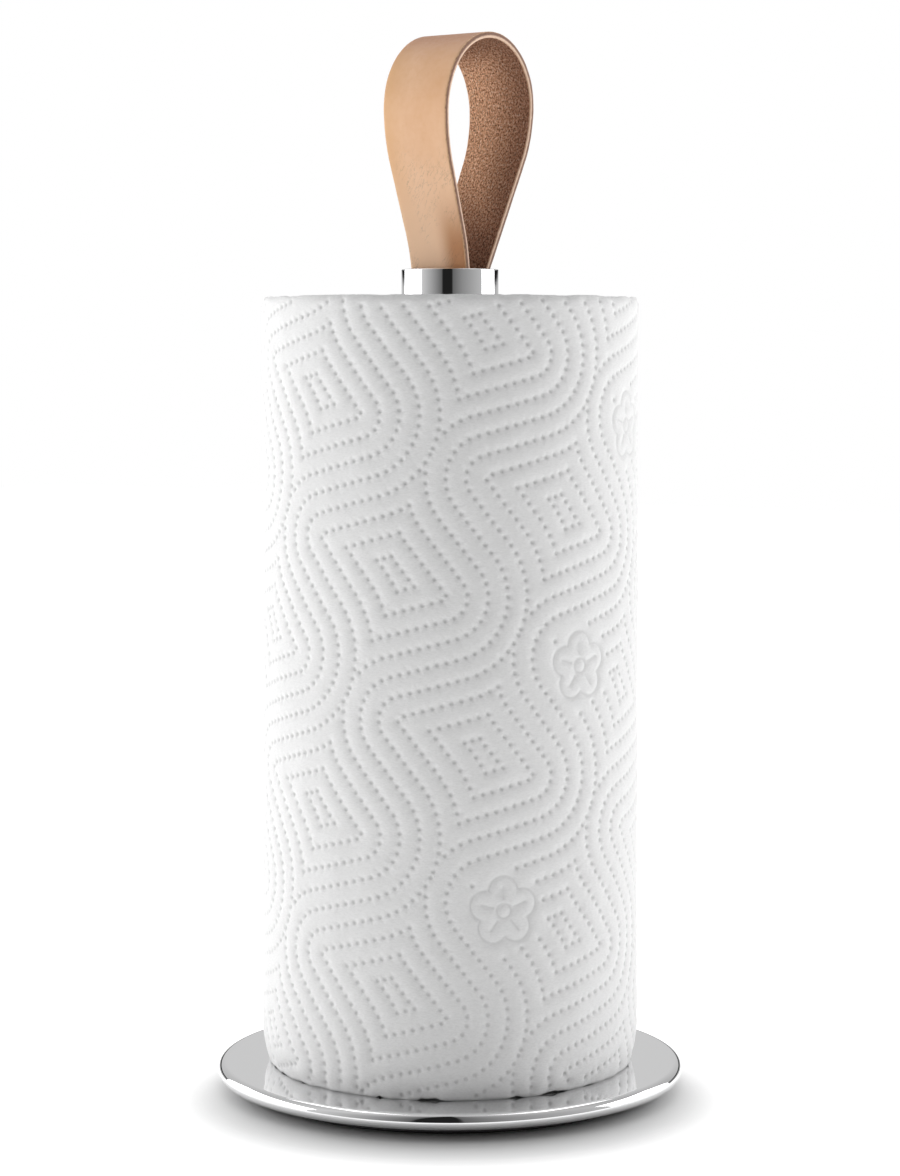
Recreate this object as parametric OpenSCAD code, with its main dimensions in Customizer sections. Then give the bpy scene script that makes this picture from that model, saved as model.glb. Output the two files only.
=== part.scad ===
// Countertop paper towel holder: a weighted polished base, a steel column with a leather loop
// clamped into its top, and a paper roll that stands round the column.
// The origin is the centre of the resting face, +Z is up and the loop lies in the XZ plane.

/* [Base] */
// Diameter of the base
base_d = 147; // [142:1:160]
// Height of the base's flat top above the table
base_top = 8; // [8:0.1:8.4]
// Thickness of the pressed steel shell
shell_wall = 1; // [0.8:0.1:1.2]
// Height of the rolled rim's lowest point above the table
rim_underside = 3; // [2.9:0.1:3.1]

/* [Column] */
// Outside diameter of the column and its collar
column_d = 30.5; // [30:0.5:32]
// Wall of the column tube
tube_wall = 1.2; // [1:0.1:1.5]
// Height of the joint between tube and collar
tube_top = 249; // [248:1:252]
// Height of the collar's top edge
collar_top = 257.4; // [256:0.1:262]

/* [Roll] */
// Outside diameter of the full roll
roll_d = 118; // [100:1:120]
// Inside diameter of the cardboard core
core_bore_d = 41; // [38:0.5:44]
// Wall of the cardboard core
core_wall = 1; // [0.8:0.1:1.5]
// Height of the roll's top face
roll_top = 248.6; // [230:0.1:249]

/* [Strap] */
// Thickness of the leather
strap_t = 2; // [1.8:0.1:2.2]
// Width of the leather over the top of the loop
strap_w = 24.5; // [22:0.5:25]
// Width of the leather where it enters the collar
strap_neck_w = 21.5; // [18:0.5:21.5]
// Height of the loop's outer top
strap_top = 331.8; // [330:0.1:340]

/* [Hidden] */

$fn = 96;
over = 1;                                // how far a cut runs past the face that it opens
lap = 0.01;                              // overlap that joins two outlines into one

// Base
base_r = base_d / 2;
rim_r = (base_top - rim_underside) / 2;  // the rim's edge is a full half round
rim_z = rim_underside + rim_r;           // height of the rim's middle
lip_r = base_r - 6.5;                    // inner edge of the rim's rolled lip
shell_inside = base_top - shell_wall;    // underside of the shell's flat top
lip_top = rim_underside + shell_wall;
ballast_r = lip_r - 0.5;
ballast_flange_r = base_r - rim_r - 0.2;
cover_low = 1.2;
cover_r = ballast_r;
foot_r = 61;                             // middle of the rubber ring
foot_w = 6;
foot_edge_r = 0.6;
foot_groove_top = 2.2;
cover_screw_pcr = 40;                    // radius of the circle that the cover's screws stand on
cover_screw_r = 1.5;
cover_screw_head_r = 2.75;
cover_screw_end = 6;
cover_screw_socket_r = 1.15;             // across corners of the hex socket
cover_screw_socket_h = 1;

// Joint between base and column
bolt_r = 3;
bolt_clear_r = 3.3;
bolt_head_r = 5.25;
bolt_head_low = 0.9;
bolt_head_top = 4.2;
bolt_head_edge = 0.5;                    // chamfer round the head
bolt_socket_r = 2.3;                     // across corners of the hex socket
bolt_socket_h = 2;
washer_r = 6;
washer_top = 5.4;
counterbore_r = 9;
bolt_end = 20.2;
bolt_hole_top = 23;                      // end of the plug's threaded hole
dowel_r = 1.5;
dowel_x = 9;
dowel_low = 5.6;
dowel_top = 14;
dowel_hole_top = 14.5;
plug_top = 26;

// Column
column_r = column_d / 2;
tube_r = column_r - tube_wall;           // bore of the column tube
collar_bore_r = 12.5;
skirt_low = 239;                         // lower end of the collar's skirt inside the tube
collar_edge_r = 0.4;
collar_chamfer = 0.5;                    // inside the collar's mouth

// Clamp inside the collar
tail_u = 4.65;                           // middle of each strap tail, out from the column's axis
clamp_low = 236;
clamp_top = 249.5;
clamp_r = collar_bore_r - 0.1;
clamp_screw_z = 240.5;
clamp_screw_y = 4.2;
clamp_screw_r = 1.5;
clamp_head_r = 2.75;
clamp_head_u = 7;                        // seat of the screw heads, out from the column's axis
clamp_head_end_u = 10;
clamp_screw_end_u = 9;
clamp_hole_end_u = 9.5;
clamp_socket_r = 1.4;                    // across corners of the hex socket
clamp_socket_h = 1.4;
pin_r = 1.5;
pin_z = 245.3;
pin_half_length = tube_r - 0.05;

// Roll
core_bore_r = core_bore_d / 2;
core_r = core_bore_r + core_wall;
core_fit = 0.05;                         // radial running clearance between core and paper
roll_r = roll_d / 2;
roll_low = base_top + 0.3;
core_low = base_top + 0.25;
sheet_t = 0.4;                           // the sheet with its embossing
sheet_length = 230;                      // one tear-off sheet, along the roll
sheet_angle = sheet_length / roll_r * 180 / PI;
sheet_end = 330;                         // direction of the sheet's free edge, from +X
wound_r = roll_r - sheet_t;
roll_edge_r = 1.6;
roll_tuck = 2.2;                         // how far the paper draws in at its lower edge
roll_tuck_h = 11;

// Loop of the strap. Each side is a crown arc, a cheek arc that turns inward, a straight run,
// and a neck arc that turns back to vertical at the clamp: [crown r, cheek r, cheek angle, neck r].
apex_u = 6.6;
loop_left = [24.5, 50, 19.5, 60];
loop_right = [21.5, 38, 27.7, 7.5];
crown_z = strap_top - strap_t / 2;
strap_full_z = 316;                      // the strap has its full width above this height

function arc(centre, r, from, to, steps) =
    [for (i = [0:steps])
        let (a = from + (to - from) * i / steps)
        centre + r * [cos(a), sin(a)]];

function reversed(points) = [for (i = [len(points) - 1:-1:0]) points[i]];

// Length of the straight run between cheek and neck
function run_length(side, apex) =
    (apex + side[0] - (side[1] + side[3]) * (1 - cos(side[2])) - tail_u) / sin(side[2]);

// Height of the neck arc's centre
function neck_z(side, apex) =
    crown_z - side[0] - (side[1] + side[3]) * sin(side[2]) - run_length(side, apex) * cos(side[2]);

// One side of the loop from its crown down to the tail, shifted outward from the leather's middle
function loop_side(side, apex, shift) = concat(
    arc([apex, crown_z - side[0]], side[0] + shift, 90, 0, 14),
    arc([apex + side[0] - side[1], crown_z - side[0]], side[1] + shift, 0, -side[2], 6),
    arc([tail_u + side[3], neck_z(side, apex)], side[3] - shift, 180 - side[2], 180, 6),
    [[tail_u + shift, clamp_low]]
);

function mirrored(points) = [for (p = points) [-p[0], p[1]]];

function loop_line(shift) = concat(
    reversed(mirrored(loop_side(loop_left, -apex_u, shift))),
    loop_side(loop_right, apex_u, shift)
);

// A rod along X between two places, at a height and a sideways place
module rod_x(r, from, to, y, z) {
    translate([from, y, z]) rotate([0, 90, 0]) cylinder(r = r, h = to - from);
}

module polished_steel() { color([0.82, 0.82, 0.84]) children(); }
module plain_steel() { color([0.6, 0.61, 0.63]) children(); }

// Half profile of the base with its half-round rim, without the space inside
module base_outline() {
    translate([0, rim_underside]) square([base_r - rim_r, base_top - rim_underside]);
    translate([base_r - rim_r, rim_z]) circle(rim_r);
}

// Half profile of the space inside the shell, open below inside the rolled lip
module shell_space() {
    translate([0, rim_underside - over]) square([lip_r, shell_inside - rim_underside + over]);
    translate([0, lip_top]) square([base_r - rim_r, shell_inside - lip_top]);
    translate([base_r - rim_r, rim_z]) circle(rim_r - shell_wall);
}

module base_shell() {
    polished_steel()
    difference() {
        rotate_extrude() difference() {
            base_outline();
            shell_space();
        }
        translate([0, 0, shell_inside - over]) cylinder(r = bolt_clear_r, h = shell_wall + 2 * over);
        translate([dowel_x, 0, shell_inside - over]) cylinder(r = dowel_r, h = shell_wall + 2 * over);
    }
}

module ballast_disc() {
    color([0.3, 0.3, 0.31])
    difference() {
        union() {
            translate([0, 0, rim_underside]) cylinder(r = ballast_r, h = shell_inside - rim_underside);
            translate([0, 0, lip_top]) cylinder(r = ballast_flange_r, h = shell_inside - lip_top);
        }
        translate([0, 0, rim_underside - over])
            cylinder(r = counterbore_r, h = washer_top - rim_underside + over);
        translate([0, 0, washer_top - over])
            cylinder(r = bolt_clear_r, h = shell_inside - washer_top + 2 * over);
        translate([dowel_x, 0, dowel_low]) cylinder(r = dowel_r, h = shell_inside);
        cover_screw_places() translate([0, 0, rim_underside - over])
            cylinder(r = cover_screw_r, h = cover_screw_end - rim_underside + over);
    }
}

module cover_screw_places() {
    for (i = [0:2]) rotate(i * 120 + 90) translate([cover_screw_pcr, 0, 0]) children();
}

module base_cover() {
    color([0.12, 0.12, 0.13])
    difference() {
        translate([0, 0, cover_low]) cylinder(r = cover_r, h = rim_underside - cover_low);
        translate([0, 0, cover_low - over]) cylinder(r = counterbore_r, h = rim_underside + over);
        rotate_extrude() translate([foot_r - foot_w / 2, 0]) square([foot_w, foot_groove_top]);
        cover_screw_places() {
            translate([0, 0, cover_low - over]) cylinder(r = cover_screw_r, h = rim_underside + over);
            screw_head_cone();
        }
    }
}

// The 90 degree countersunk head of a cover screw
module screw_head_cone() {
    translate([0, 0, cover_low])
        cylinder(r1 = cover_screw_head_r, r2 = cover_screw_r, h = cover_screw_head_r - cover_screw_r);
}

module cover_screws() {
    plain_steel()
    cover_screw_places()
        difference() {
            union() {
                screw_head_cone();
                translate([0, 0, cover_low]) cylinder(r = cover_screw_r, h = cover_screw_end - cover_low);
            }
            translate([0, 0, cover_low - over])
                cylinder(r = cover_screw_socket_r, h = cover_screw_socket_h + over, $fn = 6);
        }
}

module foot_ring() {
    color([0.09, 0.09, 0.09])
    rotate_extrude() translate([foot_r, 0]) {
        translate([-foot_w / 2, foot_edge_r]) square([foot_w, foot_groove_top - foot_edge_r]);
        translate([foot_edge_r - foot_w / 2, 0]) square([foot_w - 2 * foot_edge_r, foot_groove_top]);
        for (side = [-1, 1])
            translate([side * (foot_w / 2 - foot_edge_r), foot_edge_r]) circle(foot_edge_r);
    }
}

module centre_bolt() {
    plain_steel()
    difference() {
        union() {
            translate([0, 0, bolt_head_low + bolt_head_edge])
                cylinder(r = bolt_head_r, h = bolt_head_top - bolt_head_low - bolt_head_edge);
            translate([0, 0, bolt_head_low])
                cylinder(r1 = bolt_head_r - bolt_head_edge, r2 = bolt_head_r, h = bolt_head_edge);
            translate([0, 0, bolt_head_low]) cylinder(r = bolt_r, h = bolt_end - bolt_head_low);
        }
        translate([0, 0, bolt_head_low - over])
            cylinder(r = bolt_socket_r, h = bolt_socket_h + over, $fn = 6);
    }
}

module bolt_washer() {
    plain_steel()
    difference() {
        translate([0, 0, bolt_head_top]) cylinder(r = washer_r, h = washer_top - bolt_head_top);
        translate([0, 0, bolt_head_top - over])
            cylinder(r = bolt_clear_r, h = washer_top - bolt_head_top + 2 * over);
    }
}

module locating_pin() {
    plain_steel()
    translate([dowel_x, 0, dowel_low]) cylinder(r = dowel_r, h = dowel_top - dowel_low);
}

module tube_plug() {
    plain_steel()
    difference() {
        translate([0, 0, base_top]) cylinder(r = tube_r, h = plug_top - base_top);
        translate([0, 0, base_top - over]) cylinder(r = bolt_r, h = bolt_hole_top - base_top + over);
        translate([dowel_x, 0, base_top - over])
            cylinder(r = dowel_r, h = dowel_hole_top - base_top + over);
    }
}

module column_tube() {
    polished_steel()
    difference() {
        translate([0, 0, base_top]) cylinder(r = column_r, h = tube_top - base_top);
        translate([0, 0, base_top - over]) cylinder(r = tube_r, h = tube_top);
    }
}

module strap_collar() {
    polished_steel()
    difference() {
        union() {
            rotate_extrude() {
                translate([0, tube_top]) square([column_r, collar_top - collar_edge_r - tube_top]);
                translate([0, tube_top]) square([column_r - collar_edge_r, collar_top - tube_top]);
                translate([column_r - collar_edge_r, collar_top - collar_edge_r]) circle(collar_edge_r);
            }
            translate([0, 0, skirt_low]) cylinder(r = tube_r, h = tube_top - skirt_low + over);
        }
        translate([0, 0, skirt_low - over]) cylinder(r = collar_bore_r, h = collar_top);
        translate([0, 0, collar_top - collar_chamfer])
            cylinder(r1 = collar_bore_r, r2 = collar_bore_r + 2 * collar_chamfer, h = 2 * collar_chamfer);
        translate([0, pin_half_length + over, pin_z]) rotate([90, 0, 0])
            cylinder(r = pin_r, h = 2 * (pin_half_length + over));
    }
}

// The round slug that fills the collar's bore between two places along X
module clamp_slice(from, to) {
    intersection() {
        translate([0, 0, clamp_low]) cylinder(r = clamp_r, h = clamp_top - clamp_low);
        translate([from, -clamp_r, clamp_low]) cube([to - from, 2 * clamp_r, clamp_top - clamp_low]);
    }
}

module clamp_screw_places() {
    for (y = [-clamp_screw_y, clamp_screw_y]) translate([0, y, clamp_screw_z]) children();
}

module clamp_block() {
    plain_steel()
    difference() {
        clamp_slice(-tail_u + strap_t / 2, tail_u - strap_t / 2);
        clamp_screw_places() rod_x(clamp_screw_r, -tail_u, tail_u, 0, 0);
        translate([0, pin_half_length, pin_z]) rotate([90, 0, 0])
            cylinder(r = pin_r, h = 2 * pin_half_length);
    }
}

module clamp_jaw_left() {
    plain_steel()
    difference() {
        clamp_slice(-clamp_r, -tail_u - strap_t / 2);
        clamp_screw_places() {
            rod_x(clamp_screw_r, -clamp_r, -tail_u, 0, 0);
            rod_x(clamp_head_r, -clamp_r - over, -clamp_head_u, 0, 0);
        }
    }
}

module clamp_jaw_right() {
    plain_steel()
    difference() {
        clamp_slice(tail_u + strap_t / 2, clamp_r);
        clamp_screw_places() rod_x(clamp_screw_r, tail_u, clamp_hole_end_u, 0, 0);
    }
}

module clamp_screws() {
    color([0.25, 0.25, 0.27])
    clamp_screw_places()
        difference() {
            union() {
                rod_x(clamp_screw_r, -clamp_head_u - over, clamp_screw_end_u, 0, 0);
                rod_x(clamp_head_r, -clamp_head_end_u, -clamp_head_u, 0, 0);
            }
            translate([-clamp_head_end_u - over, 0, 0]) rotate([0, 90, 0])
                cylinder(r = clamp_socket_r, h = clamp_socket_h + over, $fn = 6);
        }
}

module retaining_pin() {
    plain_steel()
    translate([0, pin_half_length, pin_z]) rotate([90, 0, 0])
        cylinder(r = pin_r, h = 2 * pin_half_length);
}

module strap() {
    color([0.78, 0.56, 0.38])
    difference() {
        intersection() {
            translate([0, strap_w, 0]) rotate([90, 0, 0]) linear_extrude(2 * strap_w)
                polygon(concat(loop_line(strap_t / 2), reversed(loop_line(-strap_t / 2))));
            translate([-base_r, 0, 0]) rotate([90, 0, 90]) linear_extrude(base_d)
                polygon([
                    [-strap_neck_w / 2, clamp_low - over], [strap_neck_w / 2, clamp_low - over],
                    [strap_neck_w / 2, collar_top], [strap_w / 2, strap_full_z],
                    [strap_w / 2, strap_top + over], [-strap_w / 2, strap_top + over],
                    [-strap_w / 2, strap_full_z], [-strap_neck_w / 2, collar_top]
                ]);
        }
        clamp_screw_places() rod_x(clamp_screw_r, -2 * tail_u, 2 * tail_u, 0, 0);
    }
}

module roll_core() {
    color([0.68, 0.55, 0.4])
    difference() {
        translate([0, 0, core_low]) cylinder(r = core_r, h = roll_top - core_low);
        translate([0, 0, core_low - over]) cylinder(r = core_bore_r, h = roll_top);
    }
}

// Half profile of the wound paper out to a radius, with its drawn-in lower edge
module paper_profile(r) {
    polygon([
        [0, roll_low], [r - roll_tuck, roll_low], [r, roll_low + roll_tuck_h],
        [r, roll_top - roll_edge_r], [0, roll_top - roll_edge_r]
    ]);
    translate([0, roll_top - roll_edge_r - lap]) square([r - roll_edge_r, roll_edge_r + lap]);
    translate([r - roll_edge_r, roll_top - roll_edge_r]) circle(roll_edge_r);
}

module paper_roll() {
    color([0.95, 0.95, 0.95])
    difference() {
        rotate_extrude() paper_profile(wound_r);
        translate([0, 0, roll_low - over]) cylinder(r = core_r + core_fit, h = roll_top);
    }
}

// The outermost sheet lies round the wound paper and follows its drawn-in lower edge
module end_sheet() {
    color([0.97, 0.97, 0.97])
    rotate(sheet_end - sheet_angle)
        rotate_extrude(angle = sheet_angle) polygon([
            [wound_r - roll_tuck, roll_low], [roll_r - roll_tuck, roll_low],
            [roll_r, roll_low + roll_tuck_h], [roll_r, roll_top - roll_edge_r],
            [wound_r, roll_top - roll_edge_r], [wound_r, roll_low + roll_tuck_h]
        ]);
}

base_shell();
ballast_disc();
base_cover();
cover_screws();
foot_ring();
centre_bolt();
bolt_washer();
locating_pin();
tube_plug();
column_tube();
strap_collar();
clamp_block();
clamp_jaw_left();
clamp_jaw_right();
clamp_screws();
retaining_pin();
strap();
roll_core();
paper_roll();
end_sheet();
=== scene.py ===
import math

import bmesh
import bpy
import numpy as np
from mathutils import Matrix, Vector, kdtree, noise
from mathutils.geometry import delaunay_2d_cdt


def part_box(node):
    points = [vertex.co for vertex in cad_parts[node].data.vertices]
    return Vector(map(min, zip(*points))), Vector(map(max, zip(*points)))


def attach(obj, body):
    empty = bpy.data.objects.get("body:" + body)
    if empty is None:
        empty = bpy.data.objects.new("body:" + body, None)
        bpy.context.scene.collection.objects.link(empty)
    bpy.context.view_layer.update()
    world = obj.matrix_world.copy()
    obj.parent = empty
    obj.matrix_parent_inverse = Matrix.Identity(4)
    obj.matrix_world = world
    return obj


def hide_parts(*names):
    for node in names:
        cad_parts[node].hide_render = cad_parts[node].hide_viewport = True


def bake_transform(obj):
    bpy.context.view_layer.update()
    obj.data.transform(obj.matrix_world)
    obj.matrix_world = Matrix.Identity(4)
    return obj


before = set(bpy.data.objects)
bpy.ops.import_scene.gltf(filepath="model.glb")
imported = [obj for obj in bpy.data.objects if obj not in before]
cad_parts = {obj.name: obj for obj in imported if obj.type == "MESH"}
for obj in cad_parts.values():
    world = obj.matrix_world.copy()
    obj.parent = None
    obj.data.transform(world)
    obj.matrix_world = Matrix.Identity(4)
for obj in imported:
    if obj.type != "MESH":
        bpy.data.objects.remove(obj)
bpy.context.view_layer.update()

MM = 0.001

# ---------------------------------------------------------------- sizes from the frame

shell_low, shell_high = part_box("base_shell")
BASE_R, BASE_TOP, RIM_UNDERSIDE = shell_high.x, shell_high.z, shell_low.z
tube_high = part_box("column_tube")[1]
COLUMN_R, TUBE_TOP = tube_high.x, tube_high.z
collar_low, collar_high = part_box("strap_collar")
SKIRT_LOW, COLLAR_TOP = collar_low.z, collar_high.z
core_low, core_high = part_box("roll_core")
CORE_R, CORE_LOW, ROLL_TOP = core_high.x, core_low.z, core_high.z
roll_low, roll_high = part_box("paper_roll")
WOUND_R, ROLL_LOW = roll_high.x, roll_low.z
ROLL_R = WOUND_R + 0.4 * MM
strap_low, strap_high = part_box("strap")
STRAP_TOP, TAIL_LOW = strap_high.z, strap_low.z

VIEW_ANGLE = 216  # direction from the column to the camera, in degrees from +X

LENS_MM, LENS_SHIFT = 90.55, -0.125
CAMERA_AWAY, CAMERA_HEIGHT, CAMERA_TILT_DOWN = 0.933, 0.232, 1.76

FLOOR_HALF = 3.0
SHADOW_OFFSET = 0.016  # the middle of the painted shadow on the floor lies this far toward the camera
GLOW_STRENGTH = 0.75
GLOW = [(0.061, 0), (0.074, 0.40), (0.090, 1)]  # floor glow by distance from the painted shadow's middle
WALL_SEEN_FROM, WALL_SEEN_FULLY = 0.12, 0.26  # mirrors see the wall past these distances


# ---------------------------------------------------------------- camera, light and floor

def toward(degrees, distance, height):
    """A place at that distance from the column's axis, in that direction from +X."""
    angle = math.radians(degrees)
    return Vector((distance * math.cos(angle), distance * math.sin(angle), height))


def make_camera():
    data = bpy.data.cameras.new("camera")
    data.lens = LENS_MM
    data.shift_y = LENS_SHIFT
    camera = bpy.data.objects.new("camera", data)
    camera.location = toward(VIEW_ANGLE, CAMERA_AWAY, CAMERA_HEIGHT)
    tilt, heading = math.radians(90 - CAMERA_TILT_DOWN), math.radians(VIEW_ANGLE + 90)
    camera.rotation_euler = (tilt, 0, heading)
    bpy.context.scene.collection.objects.link(camera)
    bpy.context.scene.camera = camera


def softbox(name, place, aim, width, height, power):
    """A rectangular light that points at aim and that the camera doesn't see."""
    data = bpy.data.lights.new(name, "AREA")
    data.shape = "RECTANGLE"
    data.size, data.size_y = width, height
    data.energy = power
    light = bpy.data.objects.new(name, data)
    light.location = place
    light.rotation_euler = (Vector(aim) - place).to_track_quat("-Z", "Y").to_euler()
    light.visible_camera = False
    bpy.context.scene.collection.objects.link(light)


def make_lights():
    """Broad lights at both sides, and a weaker one high up on the far side."""
    middle = (0, 0, 0.16)
    softbox("softbox_left", toward(VIEW_ANGLE - 104, 1.2, 0.16), middle, 1.55, 1.3, 16.4)
    softbox("softbox_right", toward(VIEW_ANGLE + 106, 1.2, 0.20), middle, 1.1, 1.3, 11.8)
    softbox("softbox_top", toward(VIEW_ANGLE + 180, 0.6, 1.4), (0, 0, 0), 1.4, 1.0, 6.5)


# Brightness of the studio's wall by direction, in degrees from the camera's own direction
WALL = [
    (-180, 0.66), (-133, 0.5), (-72, 0.68), (-50, 0.45), (-19, 0.13), (-17, 0.015),
    (5, 0.015), (7, 0.14), (30, 0.29), (84, 0.55), (130, 0.45), (180, 0.66),
]


def wall_grey(tree, split):
    """The wall's brightness in the direction of a vector whose X points to the camera's side."""
    around = math_of(tree, "ARCTAN2", split.outputs["Y"], split.outputs["X"])
    share = math_of(tree, "MULTIPLY_ADD", around, 0.5 / math.pi, 0.5)
    return ramp_of(tree, share, [((angle + 180) / 360, (v, v, v)) for angle, v in WALL])


def split_from_view(tree, vector):
    """The parts of a vector after turning it so that X points to the camera's side."""
    turned = add_node(
        tree, "ShaderNodeVectorRotate", {"rotation_type": "Z_AXIS"},
        {"Vector": vector, "Angle": math.radians(-VIEW_ANGLE)},
    ).outputs[0]
    return add_node(tree, "ShaderNodeSeparateXYZ", {}, {0: turned})


def make_world():
    """A studio wall, darkest behind the camera, with a dark gap at its foot on the far side.
    The camera itself sees plain white."""
    world = bpy.data.worlds.new("studio")
    world.use_nodes = True
    bpy.context.scene.world = world
    tree = world.node_tree
    tree.nodes.clear()
    split = split_from_view(tree, add_node(tree, "ShaderNodeTexCoord").outputs["Generated"])
    grey = wall_grey(tree, split)
    gap = [(0.03, 1), (0.045, 0.03), (0.12, 0.03), (0.135, 1)]
    skirting = ramp_of(tree, split.outputs["Z"], [(z, (v, v, v)) for z, v in gap])
    behind = math_of(tree, "LESS_THAN", split.outputs["X"], -0.6)
    grey = mix_of(tree, behind, grey, mix_of(tree, 1.0, grey, skirting, "MULTIPLY"))
    lit = add_node(tree, "ShaderNodeBackground", {}, {"Color": grey, "Strength": 1.0}).outputs[0]
    white = add_node(tree, "ShaderNodeBackground", {}, {"Color": (1, 1, 1, 1)}).outputs[0]
    seen = add_node(tree, "ShaderNodeLightPath").outputs["Is Camera Ray"]
    mixed = add_node(tree, "ShaderNodeMixShader", {}, {0: seen, 1: lit, 2: white}).outputs[0]
    add_node(tree, "ShaderNodeOutputWorld", {}, {"Surface": mixed})


def make_floor():
    """Pale floor with a soft shadow that falls toward the camera and fades to plain white. The shadow
    is mostly painted: the floor's glow grows with distance from a point set toward the camera.
    Mirrors see its far parts glowing as a continuation of the wall, a painted reflection."""
    corners = [(x * FLOOR_HALF, y * FLOOR_HALF, 0) for x, y in ((-1, -1), (1, -1), (1, 1), (-1, 1))]
    floor = mesh_object("floor", corners, [(0, 1, 2, 3)])
    material, tree, shader = new_material(
        "floor", {"Base Color": (0.6, 0.6, 0.6, 1), "Roughness": 0.9, "Specular IOR Level": 0.0}
    )
    place = add_node(tree, "ShaderNodeTexCoord").outputs["Object"]
    shadow_middle = toward(VIEW_ANGLE, SHADOW_OFFSET, 0)
    away = add_node(
        tree, "ShaderNodeVectorMath", {"operation": "DISTANCE"}, {0: place, 1: shadow_middle}
    ).outputs["Value"]
    # painted shadow: the floor glows less the nearer it is to the base
    glow = ramp_of(tree, away, [(distance, (v, v, v)) for distance, v in GLOW])
    tree.links.new(glow, shader.inputs["Emission Color"])
    shader.inputs["Emission Strength"].default_value = GLOW_STRENGTH
    grey = wall_grey(tree, split_from_view(tree, place))
    wall = add_node(tree, "ShaderNodeEmission", {}, {"Color": grey})
    mirrored = add_node(tree, "ShaderNodeLightPath").outputs["Is Glossy Ray"]
    far = rising(tree, away, WALL_SEEN_FROM, WALL_SEEN_FULLY)
    share = math_of(tree, "MULTIPLY", mirrored, far)
    mixed = add_node(
        tree, "ShaderNodeMixShader", {}, {0: share, 1: shader.outputs[0], 2: wall.outputs[0]}
    ).outputs[0]
    tree.links.new(mixed, tree.nodes["Material Output"].inputs["Surface"])
    floor.data.materials.append(material)


# ---------------------------------------------------------------- node and mesh helpers

def add_node(tree, kind, settings=None, inputs=None):
    """Adds a node, sets its properties, and sets or links its inputs."""
    node = tree.nodes.new(kind)
    for key, value in (settings or {}).items():
        setattr(node, key, value)
    for key, value in (inputs or {}).items():
        if isinstance(value, bpy.types.NodeSocket):
            tree.links.new(value, node.inputs[key])
        else:
            node.inputs[key].default_value = value
    return node


def new_material(name, values):
    """A material with one Principled shader, whose sockets hold the given constant values."""
    material = bpy.data.materials.new(name)
    material.use_nodes = True
    tree = material.node_tree
    shader = tree.nodes["Principled BSDF"]
    for key, value in values.items():
        shader.inputs[key].default_value = value
    return material, tree, shader


def math_of(tree, operation, first, second=0.0, third=0.0):
    inputs = {0: first, 1: second, 2: third}
    return add_node(tree, "ShaderNodeMath", {"operation": operation}, inputs).outputs[0]


def noise_of(tree, place, scale, detail=2.0, roughness=0.5):
    inputs = {"Vector": place, "Scale": scale, "Detail": detail, "Roughness": roughness}
    return add_node(tree, "ShaderNodeTexNoise", {}, inputs).outputs["Fac"]


def stretched(tree, place, scale):
    return add_node(tree, "ShaderNodeMapping", {}, {"Vector": place, "Scale": scale}).outputs[0]


def ramp_of(tree, factor, stops):
    """Colour ramp with stops of (position, colour)."""
    node = add_node(tree, "ShaderNodeValToRGB", {}, {"Fac": factor})
    elements = node.color_ramp.elements
    while len(elements) < len(stops):
        elements.new(0.5)
    for element, (position, colour) in zip(elements, stops):
        element.position = position
        element.color = (*colour, 1)
    return node.outputs["Color"]


def mix_of(tree, factor, first, second, blend="MIX"):
    settings = {"data_type": "RGBA", "blend_type": blend}
    return add_node(tree, "ShaderNodeMix", settings, {0: factor, 6: first, 7: second}).outputs[2]


def bump_of(tree, height, distance, strength=1.0, under=None):
    inputs = {"Height": height, "Distance": distance, "Strength": strength}
    if under is not None:
        inputs["Normal"] = under
    return add_node(tree, "ShaderNodeBump", {}, inputs).outputs["Normal"]


def mesh_object(name, points, faces, smooth=False):
    mesh = bpy.data.meshes.new(name)
    mesh.from_pydata([tuple(p) for p in points], [], [tuple(f) for f in faces])
    mesh.validate()
    if smooth:
        mesh.shade_smooth()
    made = bpy.data.objects.new(name, mesh)
    bpy.context.scene.collection.objects.link(made)
    return made


def drop_loose_points(mesh):
    """Deletes the points that no face uses."""
    shape = bmesh.new()
    shape.from_mesh(mesh)
    loose = [v for v in shape.verts if not v.link_faces]
    bmesh.ops.delete(shape, geom=loose, context="VERTS")
    shape.to_mesh(mesh)
    shape.free()


def smoothstep(low, high, value):
    t = np.clip((np.asarray(value, float) - low) / (high - low), 0, 1)
    return t * t * (3 - 2 * t)


def arc_points(centre, radius, start, end, steps):
    """Points on an arc in a flat profile, with its angles in degrees."""
    angles = np.radians(np.linspace(start, end, steps + 1))
    return [(centre[0] + radius * math.cos(a), centre[1] + radius * math.sin(a)) for a in angles]


SHARP_ANGLE = math.radians(30)


def revolved(name, profile, segments):
    """A closed body made by turning a closed profile of (radius, height) points round Z."""
    rows = len(profile)
    angles = np.linspace(0, 2 * math.pi, segments, endpoint=False)
    points = [(r * math.cos(a), r * math.sin(a), z) for a in angles for r, z in profile]
    faces = [
        (i * rows + j, (i + 1) % segments * rows + j,
         (i + 1) % segments * rows + (j + 1) % rows, i * rows + (j + 1) % rows)
        for i in range(segments) for j in range(rows)
    ]
    made = mesh_object(name, points, faces, smooth=True)
    made.data.set_sharp_from_angle(angle=SHARP_ANGLE)
    return made


def ring_faces(count, segments):
    """Faces between count rings of points, where the last ring joins the first."""
    return [
        (j * segments + i, j * segments + (i + 1) % segments,
         (j + 1) % count * segments + (i + 1) % segments, (j + 1) % count * segments + i)
        for j in range(count) for i in range(segments)
    ]


# ---------------------------------------------------------------- materials

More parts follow.
